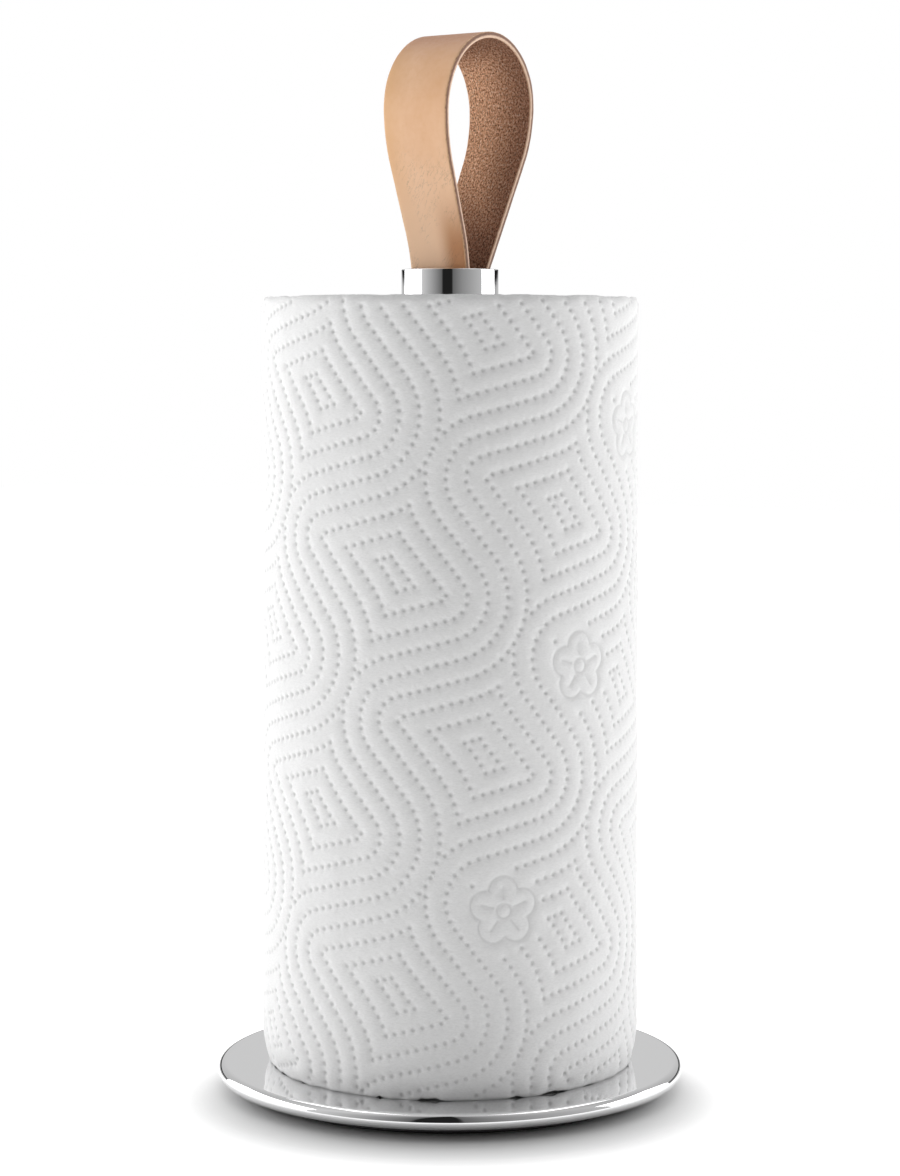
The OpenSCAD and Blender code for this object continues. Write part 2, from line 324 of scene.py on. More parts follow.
def polished_steel():
    """Mirror finish with a faint haze that varies, and hairline polishing marks."""
    material, tree, shader = new_material(
        "polished_steel", {"Metallic": 1.0, "Base Color": (0.86, 0.86, 0.865, 1)}
    )
    place = add_node(tree, "ShaderNodeTexCoord").outputs["Object"]
    haze = noise_of(tree, place, 45, 3)
    shine = ramp_of(tree, haze, [(0.35, (0.025,) * 3), (0.75, (0.06,) * 3)])
    tree.links.new(shine, shader.inputs["Roughness"])
    marks = noise_of(tree, stretched(tree, place, (60, 60, 1500)), 1.0, 2)
    tree.links.new(bump_of(tree, marks, 0.00002, 0.15), shader.inputs["Normal"])
    return material


def machined_steel(name, colour, roughness):
    """Turned and plated steel: fine turning lines and a slight patchiness."""
    material, tree, shader = new_material(name, {"Metallic": 1.0})
    place = add_node(tree, "ShaderNodeTexCoord").outputs["Object"]
    patches = noise_of(tree, place, 120, 3)
    light, dark = (*colour, 1), (*[c * 0.72 for c in colour], 1)
    tree.links.new(mix_of(tree, patches, light, dark), shader.inputs["Base Color"])
    spread = ramp_of(tree, patches, [(0.3, (roughness - 0.07,) * 3), (0.7, (roughness + 0.1,) * 3)])
    tree.links.new(spread, shader.inputs["Roughness"])
    lines = noise_of(tree, stretched(tree, place, (400, 400, 4000)), 1.0, 2)
    tree.links.new(bump_of(tree, lines, 0.00003, 0.5), shader.inputs["Normal"])
    return material


def cast_iron():
    """Dark rough iron with a brown stain."""
    material, tree, shader = new_material("cast_iron", {"Metallic": 0.85})
    place = add_node(tree, "ShaderNodeTexCoord").outputs["Object"]
    grains = noise_of(tree, place, 900, 5, 0.6)
    stain = noise_of(tree, place, 60, 3)
    body = ramp_of(tree, grains, [(0.3, (0.045, 0.045, 0.048)), (0.7, (0.11, 0.11, 0.115))])
    tree.links.new(mix_of(tree, stain, body, (0.10, 0.075, 0.06, 1)), shader.inputs["Base Color"])
    dull = ramp_of(tree, stain, [(0.3, (0.5,) * 3), (0.7, (0.75,) * 3)])
    tree.links.new(dull, shader.inputs["Roughness"])
    tree.links.new(bump_of(tree, grains, 0.0002, 0.7), shader.inputs["Normal"])
    return material


def moulded(name, colour, roughness, grain_scale, depth):
    """Moulded plastic or rubber with an even fine texture and lighter rubbed places."""
    material, tree, shader = new_material(name, {"Specular IOR Level": 0.4})
    place = add_node(tree, "ShaderNodeTexCoord").outputs["Object"]
    rubbed = noise_of(tree, place, 35, 4)
    lighter = [c * 1.9 + 0.004 for c in colour]
    body = ramp_of(tree, rubbed, [(0.45, colour), (0.8, lighter)])
    tree.links.new(body, shader.inputs["Base Color"])
    spread = ramp_of(tree, rubbed, [(0.3, (roughness,) * 3), (0.8, (roughness - 0.14,) * 3)])
    tree.links.new(spread, shader.inputs["Roughness"])
    grains = noise_of(tree, place, grain_scale, 2, 0.6)
    tree.links.new(bump_of(tree, grains, depth, 0.6), shader.inputs["Normal"])
    return material


def cardboard():
    """Spiral wound board: grey-brown with fibres and flecks."""
    material, tree, shader = new_material(
        "core_cardboard", {"Specular IOR Level": 0.2, "Roughness": 0.9}
    )
    place = add_node(tree, "ShaderNodeTexCoord").outputs["Object"]
    fibres = noise_of(tree, stretched(tree, place, (500, 500, 160)), 1.0, 4, 0.65)
    body = ramp_of(
        tree, fibres,
        [(0.3, (0.27, 0.19, 0.12)), (0.6, (0.42, 0.31, 0.21)), (0.8, (0.52, 0.41, 0.3))],
    )
    flecks = noise_of(tree, place, 900, 1)
    spots = ramp_of(tree, flecks, [(0.66, (0, 0, 0)), (0.72, (1, 1, 1))])
    tree.links.new(mix_of(tree, spots, body, (0.2, 0.13, 0.08, 1)), shader.inputs["Base Color"])
    tree.links.new(bump_of(tree, fibres, 0.0002, 0.6), shader.inputs["Normal"])
    return material


def paper_material(name, with_layers=False):
    """Soft white tissue with a fine crepe, and either greyer dots, grey partly from the pressing and
    partly from painted shade in their hollows, or, for the wound layers, painted shade in lines between
    the layers."""
    material, tree, shader = new_material(name, {"Roughness": 0.95, "Specular IOR Level": 0.15})
    place = add_node(tree, "ShaderNodeTexCoord").outputs["Object"]
    crepe = noise_of(tree, stretched(tree, place, (900, 900, 2200)), 1.0, 3, 0.6)
    cloud = noise_of(tree, place, 120, 3)
    white = ramp_of(tree, crepe, [(0.25, (0.75,) * 3), (0.6, (0.82,) * 3)])
    dimmer = ramp_of(tree, cloud, [(0.35, (0, 0, 0)), (0.75, (0.35,) * 3)])
    body = mix_of(tree, dimmer, white, (0.77, 0.77, 0.765, 1))
    if with_layers:
        split = add_node(tree, "ShaderNodeSeparateXYZ", {}, {0: place})
        turn = math_of(tree, "ARCTAN2", split.outputs["Y"], split.outputs["X"])
        across = add_node(tree, "ShaderNodeVectorMath", {"operation": "LENGTH"},
                          {0: stretched(tree, place, (1, 1, 0))}).outputs["Value"]
        wobble = math_of(tree, "MULTIPLY_ADD", noise_of(tree, place, 60, 2), 0.0005, across)
        spiral = math_of(tree, "MULTIPLY_ADD", turn, LAYER_PITCH / (4 * math.pi), wobble)
        layer = math_of(tree, "FRACT", math_of(tree, "DIVIDE", spiral, LAYER_PITCH / 2))
        # dark lines at the joins of the layers: painted shade in the gaps between them
        stops = [(0.0, 0.35), (0.3, 1), (0.8, 1), (1.0, 0.35)]
        lines = ramp_of(tree, layer, [(at, (v, v, v)) for at, v in stops])
        body = mix_of(tree, 0.4, body, lines, "MULTIPLY")
        relief = bump_of(tree, lines, 0.0003, 0.8)
    else:
        # dots and flower lines greyer: partly the pressed paper, partly painted shade in their hollows
        pressed = add_node(tree, "ShaderNodeAttribute", {"attribute_name": "pressed"}).outputs["Fac"]
        body = mix_of(tree, pressed, body, (0.65, 0.65, 0.65, 1))
        relief = None
    tree.links.new(body, shader.inputs["Base Color"])
    tree.links.new(bump_of(tree, crepe, 0.00012, 0.5, relief), shader.inputs["Normal"])
    return material


def leather_place(tree):
    """Place on the leather in millimetres: along the strap, and across it."""
    flat = add_node(tree, "ShaderNodeUVMap", {"uv_map": "leather"}).outputs["UV"]
    return stretched(tree, flat, (1000, 1000, 1000))


def leather_split(tree, place):
    """Distance from the crown along the strap, and place across it, both in millimetres."""
    split = add_node(tree, "ShaderNodeSeparateXYZ", {}, {0: place})
    return math_of(tree, "ABSOLUTE", split.outputs["X"]), split.outputs["Y"]


def rising(tree, value, low, high, amount=1.0):
    """Runs smoothly from 0 to amount as value goes from low to high, or back if low is higher."""
    inputs = {"Value": value, "From Min": low, "From Max": high, "To Max": amount}
    settings = {"interpolation_type": "SMOOTHSTEP"}
    return add_node(tree, "ShaderNodeMapRange", settings, inputs).outputs[0]


def leather_grain():
    """Smooth vegetable-tanned side: soft colour clouds, fine pores, faint creases above the collar
    darkened with painted shade, painted shade over the crown, along one edge and in one lower corner,
    and painted light paler toward the collar."""
    material, tree, shader = new_material(
        "leather_grain",
        {"Specular IOR Level": 0.28, "Coat Weight": 0.03, "Coat Roughness": 0.35},
    )
    place = leather_place(tree)
    from_crown, across = leather_split(tree, place)
    cloud = noise_of(tree, stretched(tree, place, (0.04, 0.07, 1)), 1.0, 3)
    mottle = noise_of(tree, place, 0.5, 4, 0.6)
    tan = ramp_of(tree, cloud, [(0.3, (0.79, 0.46, 0.255)), (0.7, (0.88, 0.565, 0.36))])
    spots = ramp_of(tree, mottle, [(0.4, (0,) * 3), (0.8, (0.35,) * 3)])
    tan = mix_of(tree, spots, tan, (0.74, 0.40, 0.19, 1))
    # painted shade along the +y edge, leaving the middle of the width lighter
    tan = mix_of(tree, rising(tree, across, 2.0, 13.0, 0.75), tan, (0.79, 0.455, 0.22, 1))
    # painted shade over the crown
    tan = mix_of(tree, rising(tree, from_crown, 26.0, 8.0, 0.9), tan, (0.42, 0.16, 0.05, 1))
    # painted light: paler toward the collar
    tan = mix_of(tree, rising(tree, from_crown, 45.0, 82.0, 0.75), tan, (0.96, 0.66, 0.45, 1))
    # painted shade in the lower corner on the -y side
    low = rising(tree, from_crown, 62.0, 84.0)
    corner = math_of(tree, "MULTIPLY", low, rising(tree, across, 0.0, -7.0, 0.9))
    tan = mix_of(tree, corner, tan, (0.48, 0.20, 0.07, 1))
    pores = add_node(tree, "ShaderNodeTexVoronoi", {}, {"Vector": place, "Scale": 3.2})
    pits = ramp_of(tree, pores.outputs["Distance"], [(0.0, (0,) * 3), (0.35, (1,) * 3)])
    slanted = add_node(tree, "ShaderNodeVectorRotate", {"rotation_type": "Z_AXIS"},
                       {"Vector": place, "Angle": math.radians(35)}).outputs[0]
    # the creases also darken the colour: painted shade in their folds
    creases = noise_of(tree, stretched(tree, slanted, (0.16, 0.6, 1)), 1.0, 4, 0.6)
    folds = ramp_of(tree, creases, [(0.485, (1,) * 3), (0.5, (0.1,) * 3), (0.515, (1,) * 3)])
    patches = ramp_of(tree, cloud, [(0.47, (0,) * 3), (0.56, (0.4,) * 3)])
    where = math_of(tree, "MULTIPLY", rising(tree, from_crown, 46.0, 60.0), patches)
    tree.links.new(mix_of(tree, where, tan, folds, "MULTIPLY"), shader.inputs["Base Color"])
    shine = ramp_of(tree, mottle, [(0.3, (0.38,) * 3), (0.7, (0.52,) * 3)])
    tree.links.new(shine, shader.inputs["Roughness"])
    fine = bump_of(tree, pits, 0.00003, 0.35)
    tree.links.new(bump_of(tree, folds, 0.00004, 0.3, fine), shader.inputs["Normal"])
    return material


def leather_flesh():
    """Rough inner side: short matted fibres, pale tips over dark hollows whose darkness is partly their
    own tone and partly painted shade, and painted shade over the crown, above the collar and toward one
    edge."""
    material, tree, shader = new_material(
        "leather_flesh", {"Roughness": 0.92, "Specular IOR Level": 0.06}
    )
    place = leather_place(tree)
    from_crown, across = leather_split(tree, place)
    fibres = noise_of(tree, stretched(tree, place, (1.1, 1.5, 1)), 1.0, 5, 0.7)
    flecks = noise_of(tree, stretched(tree, place, (1.4, 2.2, 1)), 1.0, 3, 0.6)
    # darkest at low fibre values, where the bump makes hollows: partly own tone, partly painted shade
    body = ramp_of(
        tree, fibres,
        [(0.34, (0.20, 0.085, 0.045)), (0.45, (0.55, 0.29, 0.17)), (0.55, (0.80, 0.47, 0.29)),
         (0.66, (0.95, 0.76, 0.58))],
    )
    # the flecks darken their hollows too: partly painted shade
    pits = ramp_of(tree, flecks, [(0.40, (0.15,) * 3), (0.49, (1,) * 3)])
    body = mix_of(tree, 0.85, body, pits, "MULTIPLY")
    # painted shade over the crown, above the collar and toward the -y edge
    painted_shade = rising(tree, across, 9.0, -11.0, 0.78)
    painted_shade = math_of(tree, "MAXIMUM", painted_shade, rising(tree, from_crown, 24.0, 8.0, 0.72))
    painted_shade = math_of(tree, "MAXIMUM", painted_shade, rising(tree, from_crown, 50.0, 84.0, 0.82))
    body = mix_of(tree, painted_shade, body, mix_of(tree, 1.0, body, (0.27, 0.22, 0.23, 1), "MULTIPLY"))
    tree.links.new(body, shader.inputs["Base Color"])
    rough = bump_of(tree, fibres, 0.0004, 0.6)
    tree.links.new(bump_of(tree, flecks, 0.0002, 0.5, rough), shader.inputs["Normal"])
    return material


def leather_edge():
    """Cut edge: burnished brown next to the grain side, with pale loose fibres at the flesh side and a
    painted highlight along the grain-side corner.
    """
    material, tree, shader = new_material(
        "leather_edge", {"Roughness": 0.55, "Specular IOR Level": 0.35}
    )
    flat = add_node(tree, "ShaderNodeUVMap", {"uv_map": "leather"}).outputs["UV"]
    through = add_node(tree, "ShaderNodeSeparateXYZ", {}, {0: flat}).outputs["Y"]
    share = math_of(tree, "MULTIPLY_ADD", through, 500.0, 0.5)
    place = leather_place(tree)
    fibres = noise_of(tree, stretched(tree, place, (0.8, 4.0, 1)), 1.0, 3)
    wander = math_of(tree, "MULTIPLY_ADD", math_of(tree, "SUBTRACT", fibres, 0.5), 0.35, share)
    # the last, pale stop is a painted highlight on the rounded grain-side corner
    body = ramp_of(
        tree, wander,
        [(0.0, (0.55, 0.34, 0.22)), (0.14, (0.80, 0.58, 0.43)), (0.34, (0.72, 0.49, 0.35)),
         (0.46, (0.30, 0.15, 0.09)), (0.62, (0.17, 0.08, 0.045)), (0.84, (0.26, 0.12, 0.065)),
         (0.97, (0.74, 0.46, 0.27))],
    )
    tree.links.new(body, shader.inputs["Base Color"])
    tree.links.new(bump_of(tree, fibres, 0.0001, 0.4), shader.inputs["Normal"])
    return material


# ---------------------------------------------------------------- polished parts

BASE_SEGMENTS, TUBE_SEGMENTS = 320, 192


def make_base_shell(material):
    """Pressed shell with a half-round rim whose lip is rolled in underneath."""
    wall, lip_r, bolt_r = 1.0 * MM, BASE_R - 6.5 * MM, 3.3 * MM
    rim_r = (BASE_TOP - RIM_UNDERSIDE) / 2
    rim = (BASE_R - rim_r, RIM_UNDERSIDE + rim_r)
    outside = arc_points(rim, rim_r, 90, -90, 24)
    inside = arc_points(rim, rim_r - wall, -90, 90, 12)
    profile = [(bolt_r, BASE_TOP - wall), (bolt_r, BASE_TOP)]
    profile += [(r, BASE_TOP) for r in (COLUMN_R, 0.03, 0.045, 0.058, rim[0] - 0.4 * MM)]
    profile += outside + [(lip_r, RIM_UNDERSIDE), (lip_r, RIM_UNDERSIDE + wall)]
    profile += inside + [(COLUMN_R, BASE_TOP - wall)]
    shell = revolved("base_shell_polished", profile[::-1], BASE_SEGMENTS)
    finish_piece(shell, "holder", "polished_steel", material, "base_shell")


def make_column(material):
    """Column tube, with its end edges broken by a fine chamfer."""
    bore, break_edge = COLUMN_R - 1.2 * MM, 0.15 * MM
    profile = [
        (bore, BASE_TOP), (bore, TUBE_TOP), (COLUMN_R - break_edge, TUBE_TOP),
        (COLUMN_R, TUBE_TOP - break_edge), (COLUMN_R, 0.17), (COLUMN_R, 0.09),
        (COLUMN_R, BASE_TOP + break_edge), (COLUMN_R - break_edge, BASE_TOP),
    ]
    tube = revolved("column_polished", profile[::-1], TUBE_SEGMENTS)
    finish_piece(tube, "holder", "polished_steel", material, "column_tube")


def make_collar(material):
    """Collar that carries the strap: a round-edged ring with a skirt inside the tube."""
    bore, skirt_r, edge, chamfer = 12.5 * MM, COLUMN_R - 1.25 * MM, 0.4 * MM, 0.5 * MM
    joint = TUBE_TOP + 0.12 * MM
    profile = [
        (bore, SKIRT_LOW), (bore, COLLAR_TOP - chamfer), (bore + chamfer, COLLAR_TOP),
        *arc_points((COLUMN_R - edge, COLLAR_TOP - edge), edge, 90, 0, 8),
        (COLUMN_R, joint + 0.1 * MM), (COLUMN_R - 0.1 * MM, joint), (skirt_r, joint),
        (skirt_r, SKIRT_LOW),
    ]
    collar = revolved("collar_polished", profile[::-1], TUBE_SEGMENTS)
    finish_piece(collar, "holder", "polished_steel", material, "strap_collar")


def finish_piece(piece, body, slot, material, *nodes):
    """Gives a piece its material, hides the CAD nodes that it replaces and hangs it on the body it
    rides on; slot, its finish, is not used.
    """
    piece.data.materials.append(material)
    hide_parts(*nodes)
    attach(piece, body)


# ---------------------------------------------------------------- leather loop

# Each side is a crown arc, a cheek arc that turns inward, a straight run, and a neck arc that
# turns back to vertical at the clamp: crown radius, cheek radius, cheek angle, neck radius.
APEX = 6.6 * MM
LOOP_LEFT = (24.5 * MM, 50 * MM, 19.5, 60 * MM)
LOOP_RIGHT = (21.5 * MM, 38 * MM, 27.7, 7.5 * MM)
TAIL_X = 4.65 * MM
LEATHER_T = 2.0 * MM
LEATHER_W = 24.5 * MM
NECK_W = 21.5 * MM
FULL_WIDTH_Z = 0.316
CROWN_Z = STRAP_TOP - LEATHER_T / 2
LEATHER_STEP = 0.42 * MM
LEATHER_EDGE_R = 0.4 * MM
FLESH_COLUMNS, GRAIN_COLUMNS = 56, 26
NAP_DEPTH, EDGE_WANDER = 0.13 * MM, 0.06 * MM


def bend_rows(centre, radius, start, end, outward=1):
    """Rows of x, z and outward normal along an arc, with its first point left out."""
    steps = max(2, round(abs(math.radians(end - start)) * radius / LEATHER_STEP))
    angles = np.radians(np.linspace(start, end, steps + 1)[1:])
    normals = np.column_stack([np.cos(angles), np.sin(angles)])
    return np.hstack([np.array(centre) + radius * normals, outward * normals])


def run_rows(start, end, normal):
    """Rows of x, z and outward normal along a straight run, with its first point left out."""
    start, end = np.array(start), np.array(end)
    steps = max(2, round(np.linalg.norm(end - start) / LEATHER_STEP))
    shares = np.linspace(0, 1, steps + 1)[1:, None]
    return np.hstack([start + (end - start) * shares, np.tile(normal, (steps, 1))])


def loop_side(side, apex):
    """Middle line of one side of the loop, from just past its apex down to its tail."""
    crown_r, cheek_r, angle, neck_r = side
    turn = math.radians(angle)
    drop = (cheek_r + neck_r) * math.sin(turn)
    run = (apex + crown_r - (cheek_r + neck_r) * (1 - math.cos(turn)) - TAIL_X) / math.sin(turn)
    shoulder = CROWN_Z - crown_r
    neck_z = shoulder - drop - run * math.cos(turn)
    cheek = bend_rows((apex + crown_r - cheek_r, shoulder), cheek_r, 0, -angle)
    neck = bend_rows((TAIL_X + neck_r, neck_z), neck_r, 180 - angle, 180, -1)
    neck_start = (TAIL_X + neck_r - neck_r * math.cos(turn), neck_z + neck_r * math.sin(turn))
    return np.vstack([
        bend_rows((apex, shoulder), crown_r, 90, 0),
        cheek,
        run_rows(cheek[-1, :2], neck_start, cheek[-1, 2:]),
        neck,
        run_rows(neck[-1, :2], (TAIL_X, TAIL_LOW), (1, 0)),
    ])


def leather_section(half_width):
    """Points round the strap's section as (across, through), and the side that follows each."""
    t, e = LEATHER_T / 2, LEATHER_EDGE_R
    flesh = [(y, -t) for y in np.linspace(-half_width + e, half_width - e, FLESH_COLUMNS)]
    grain = [(y, t) for y in np.linspace(half_width - e, -half_width + e, GRAIN_COLUMNS)]
    front = arc_points((half_width - e, -t + e), e, -90, 0, 3)[1:] + [(half_width, 0)]
    front += arc_points((half_width - e, t - e), e, 0, 90, 3)[:-1]
    back = [(-y, -through) for y, through in front]
    points = flesh + front + grain + back
    sides = ["flesh"] * (len(flesh) - 1) + ["edge"] * (len(front) + 1)
    sides += ["grain"] * (len(grain) - 1) + ["edge"] * (len(back) + 1)
    return points, sides


def make_strap(grain, flesh, edge):
    """One strip of leather bent into a loop, with a rough inner side and soft edges."""
    left = loop_side(LOOP_LEFT, -APEX)[::-1] * (-1, 1, -1, 1)
    line = np.vstack([left, (APEX, CROWN_Z, 0, 1), loop_side(LOOP_RIGHT, APEX)])
    along = np.r_[0, np.cumsum(np.linalg.norm(np.diff(line[:, :2], axis=0), axis=1))]
    along -= along[len(left)]
    points, places = [], []
    for (x, z, normal_x, normal_z), s in zip(line, along):
        share = np.clip((z - COLLAR_TOP) / (FULL_WIDTH_Z - COLLAR_TOP), 0, 1)
        half_width = (NECK_W + (LEATHER_W - NECK_W) * share) / 2
        section, sides = leather_section(half_width)
        for k, (y, through) in enumerate(section):
            if sides[k] == "flesh" and sides[k - 1] == "flesh" and z > COLLAR_TOP - 2 * MM:
                nap = noise.noise(Vector((s / 0.9, y / 0.7, 0)) / MM)
                nap += 0.7 * noise.noise(Vector((s / 0.45, y / 0.4, 5 * MM)) / MM)
                through += NAP_DEPTH * nap
            if sides[k] == "edge":
                wander = noise.noise(Vector((s / 3, through, math.copysign(9, y) * MM)) / MM)
                y += EDGE_WANDER * wander
            points.append((x + normal_x * through, y, z + normal_z * through))
            places.append((s, y, through))
    columns, rows = len(section), len(line)
    faces, face_sides = [], []
    for i in range(rows - 1):
        here, above = i * columns, (i + 1) * columns
        for k in range(columns):
            n = (k + 1) % columns
            faces.append((here + k, here + n, above + n, above + k))
            face_sides.append(sides[k])
    faces += [tuple(range(columns))[::-1], tuple(range((rows - 1) * columns, rows * columns))]
    face_sides += ["edge", "edge"]
    strap = mesh_object("leather_strap", points, faces, smooth=True)
    for material in (grain, flesh, edge):
        strap.data.materials.append(material)
    order = {"grain": 0, "flesh": 1, "edge": 2}
    flat = strap.data.uv_layers.new(name="leather")
    for polygon, side in zip(strap.data.polygons, face_sides):
        polygon.material_index = order[side]
        for loop in polygon.loop_indices:
            s, y, through = places[strap.data.loops[loop].vertex_index]
            flat.data[loop].uv = (s, through) if side == "edge" else (s, y)
    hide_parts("strap")
    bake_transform(strap)


# ---------------------------------------------------------------- embossed paper

# The pattern is laid out on the unrolled paper in millimetres: the distance round the roll from
# VIEW_ANGLE, and the height. Zigzag waves with round corners repeat on a lattice, and further
# lines of dots follow each wave at equal distances for as long as no other wave is nearer.
ROUND = 2 * math.pi * ROLL_R / MM
RISE = 18.0
STEP_DOWN = np.array([ROUND / 14, -3 * RISE])
STEP_ROUND = np.array([ROUND / 7, RISE])
PERIOD = STEP_ROUND - STEP_DOWN
PATTERN_START = np.array([-37.3, 129.7])
LEG_ANGLES = (15.0, 128.0)
LEFT_R, RIGHT_R = 13.3, 19.0
LINE_GAP, DOT_PITCH, LINES = 6.07, 2.95, 4
DOT_R, DOT_DEPTH = 0.95, 0.5
DOUBLE_DISTANCE = 1.6  # two dots nearer than this are one
CELL_REACH = range(-14, 15)

SHEET_LENGTH, SHEET_END = 0.230, 330
SHEET_START = SHEET_END - math.degrees(SHEET_LENGTH / ROLL_R)
SHEET_T, EDGE_STEP, GRID_STEP, INNER_STEP = 0.35, 1.5, 2.1, 6.0
SWELL, LINE_DEPTH, SLIT_DEPTH = 0.24, 0.28, 0.25
NO_FLOWERS_NEAR_EDGE = 12
ROLL_BOTTOM, ROLL_HEAD = ROLL_LOW / MM, ROLL_TOP / MM
LAYER_PITCH = 1.2 * MM
WOUND_SEGMENTS, CORE_SEGMENTS = 240, 144

# A five-petalled flower takes the place of the middle of some cells.
FIRST_FLOWER = np.array([16.3, 65.0])
FLOWER_PLACES = [
    FIRST_FLOWER + i * PERIOD + j * STEP_ROUND
    for j in (0, 3, 6) for i in range(-1 - j // 2, 4)
]
PETAL_OUT, PETAL_R, FLOWER_CLEAR = 6.0, 4.5, 12.4


def unit(degrees):
    return np.array([math.cos(math.radians(degrees)), math.sin(math.radians(degrees))])


def straight_line(start, end, step):
    count = max(2, int(np.linalg.norm(end - start) / step))
    return start + (end - start) * np.linspace(0, 1, count, endpoint=False)[:, None]


def bent_line(centre, radius, start, end, step):
    count = max(2, int(abs(radius) * math.radians(abs(end - start)) / step))
    angles = np.radians(np.linspace(start, end, count, endpoint=False))
    return centre + radius * np.column_stack([np.cos(angles), np.sin(angles)])


def wave_line(offset, step):
    """One period of a wave, moved sideways by offset, towards the inside of its right corner."""
    first, second = LEG_ANGLES
    e1, e2 = unit(first), unit(second)
    n1, n2 = unit(first + 90), unit(second + 90)
    leg_1, leg_2 = np.linalg.solve(np.array([e1, e2]).T, PERIOD)
    cut = math.tan(math.radians(second - first) / 2)
    end_1 = e1 * (leg_1 - RIGHT_R * cut)
    start_2 = e1 * leg_1 + e2 * RIGHT_R * cut
    end_2 = e1 * leg_1 + e2 * (leg_2 - LEFT_R * cut)
    return np.vstack([
        straight_line(e1 * LEFT_R * cut + n1 * offset, end_1 + n1 * offset, step),
        bent_line(end_1 + n1 * RIGHT_R, RIGHT_R - offset, first - 90, second - 90, step),
        straight_line(start_2 + n2 * offset, end_2 + n2 * offset, step),
        bent_line(end_2 - n2 * LEFT_R, LEFT_R + offset, second + 90, first + 90, step),
    ])


def tree_of(points):
    tree = kdtree.KDTree(len(points))
    for i, (a, b) in enumerate(points):
        tree.insert((a, b, 0), i)
    tree.balance()
    return tree


def distances(tree, points):
    """Distance from each point to the nearest one in the tree."""
    return np.array([tree.find((a, b, 0))[2] for a, b in points])


def clear_runs(clear):
    """Start and end of each run of True values that doesn't touch either end of the list."""
    edges = np.flatnonzero(np.diff(clear.astype(int)))
    starts = [e + 1 for e in edges if clear[e + 1]]
    return [(s, min(e for e in edges if e >= s)) for s in starts if any(e >= s for e in edges)]


def cell_dots():
    """Places of the dots that belong to one period of one wave."""
    base = wave_line(0, 0.5)
    waves = [base + i * STEP_ROUND + j * PERIOD for i in range(-3, 4) for j in range(-3, 4)]
    every_wave = tree_of(np.vstack(waves))
    dots = []
    for ring in range(-LINES, LINES + 1):
        one = wave_line(ring * LINE_GAP, 0.1)
        line = np.vstack([one + i * PERIOD for i in (-1, 0, 1, 2)])
        gaps = np.linalg.norm(np.diff(line, axis=0), axis=1)
        if ring == 0:
            runs, closed = [(len(one), 2 * len(one))], True
        else:
            clear = distances(every_wave, line) > abs(ring * LINE_GAP) - 0.12
            first, last = len(one), 2 * len(one)
            runs = [(s, e) for s, e in clear_runs(clear) if first <= s < last and e - s > 10]
            closed = False
        for start, end in runs:
            along = np.r_[0, np.cumsum(gaps[start:end])]
            count = max(1, round(along[-1] / DOT_PITCH))
            for k in range(count if closed else count + 1):
                at = min(end, start + int(np.searchsorted(along, along[-1] * k / count)))
                dots.append(line[at])
    return np.array(dots)


def spread_dots(low, high):
    """The pattern's dots inside a rectangle of the unrolled paper, with doubles left out."""
    cell = cell_dots() + PATTERN_START
    steps = [i * STEP_DOWN + j * STEP_ROUND for i in CELL_REACH for j in CELL_REACH]
    copies = np.vstack([cell + step for step in steps])
    inside = ((copies > low) & (copies < high)).all(axis=1)
    for place in FLOWER_PLACES:
        inside &= np.linalg.norm(copies - place, axis=1) > FLOWER_CLEAR
    copies = copies[inside]
    tree, kept = tree_of(copies), np.ones(len(copies), bool)
    for i, (a, b) in enumerate(copies):
        if kept[i]:
            for _, j, _ in tree.find_range((a, b, 0), DOUBLE_DISTANCE):
                kept[j] = kept[j] and j <= i
    return copies[kept]


def flower_lines(place):
    """Outline of the five petals, the round middle, and one vein in each petal."""
    lines = []
    for petal in range(5):
        axis = 72 * petal + 20
        for turn in np.linspace(-36, 36, 19):
            side = PETAL_OUT * math.sin(math.radians(turn))
            reach = PETAL_OUT * math.cos(math.radians(turn)) + math.sqrt(PETAL_R**2 - side**2)
            lines.append(place + reach * unit(axis + turn))
        lines += [place + r * unit(axis) for r in np.linspace(3.6, 7.2, 7)]
    lines += [place + 2.2 * unit(turn) for turn in range(0, 360, 18)]
    return np.array(lines)


def wrinkle(around, height):
    """Slow unevenness of the wound paper, in millimetres."""
    turn = 2 * math.pi * around / ROUND
    x, y = 9.2 * math.cos(turn), 9.2 * math.sin(turn)
    slow = noise.noise(Vector((x / 4, y / 4, height / 55)))
    middle = noise.noise(Vector((x / 1.3 + 7, y / 1.3, height / 17)))
    quick = noise.noise(Vector((x / 0.45, y / 0.45 + 9, height / 6)))
    return 0.30 * slow + 0.20 * middle + 0.07 * quick


def edge_wave(around, seed):
    """Unevenness along a cut edge, from 0 to about 1."""
    turn = 2 * math.pi * around / ROUND
    x, y = 9.2 * math.cos(turn), 9.2 * math.sin(turn)
    slow = noise.noise(Vector((x / 1.4, y / 1.4, seed)))
    quick = noise.noise(Vector((x / 0.5, y / 0.5, seed + 5)))
    return min(1.0, max(0.0, 0.2 + 0.9 * slow + 0.6 * quick))


def side_profile(height):
    """How far the paper's side draws in at that height, in millimetres."""
    low = np.clip(1 - (height - ROLL_BOTTOM) / 12, 0, 1)
    head = np.clip(1 - (ROLL_HEAD - height) / 2.2, 0, 1)
    return 2.4 * low**2 + 0.7 * head**2


def to_space(around, height, radius):
    angle = math.radians(VIEW_ANGLE) + around * MM / ROLL_R
    return (radius * MM * math.cos(angle), radius * MM * math.sin(angle), height * MM)


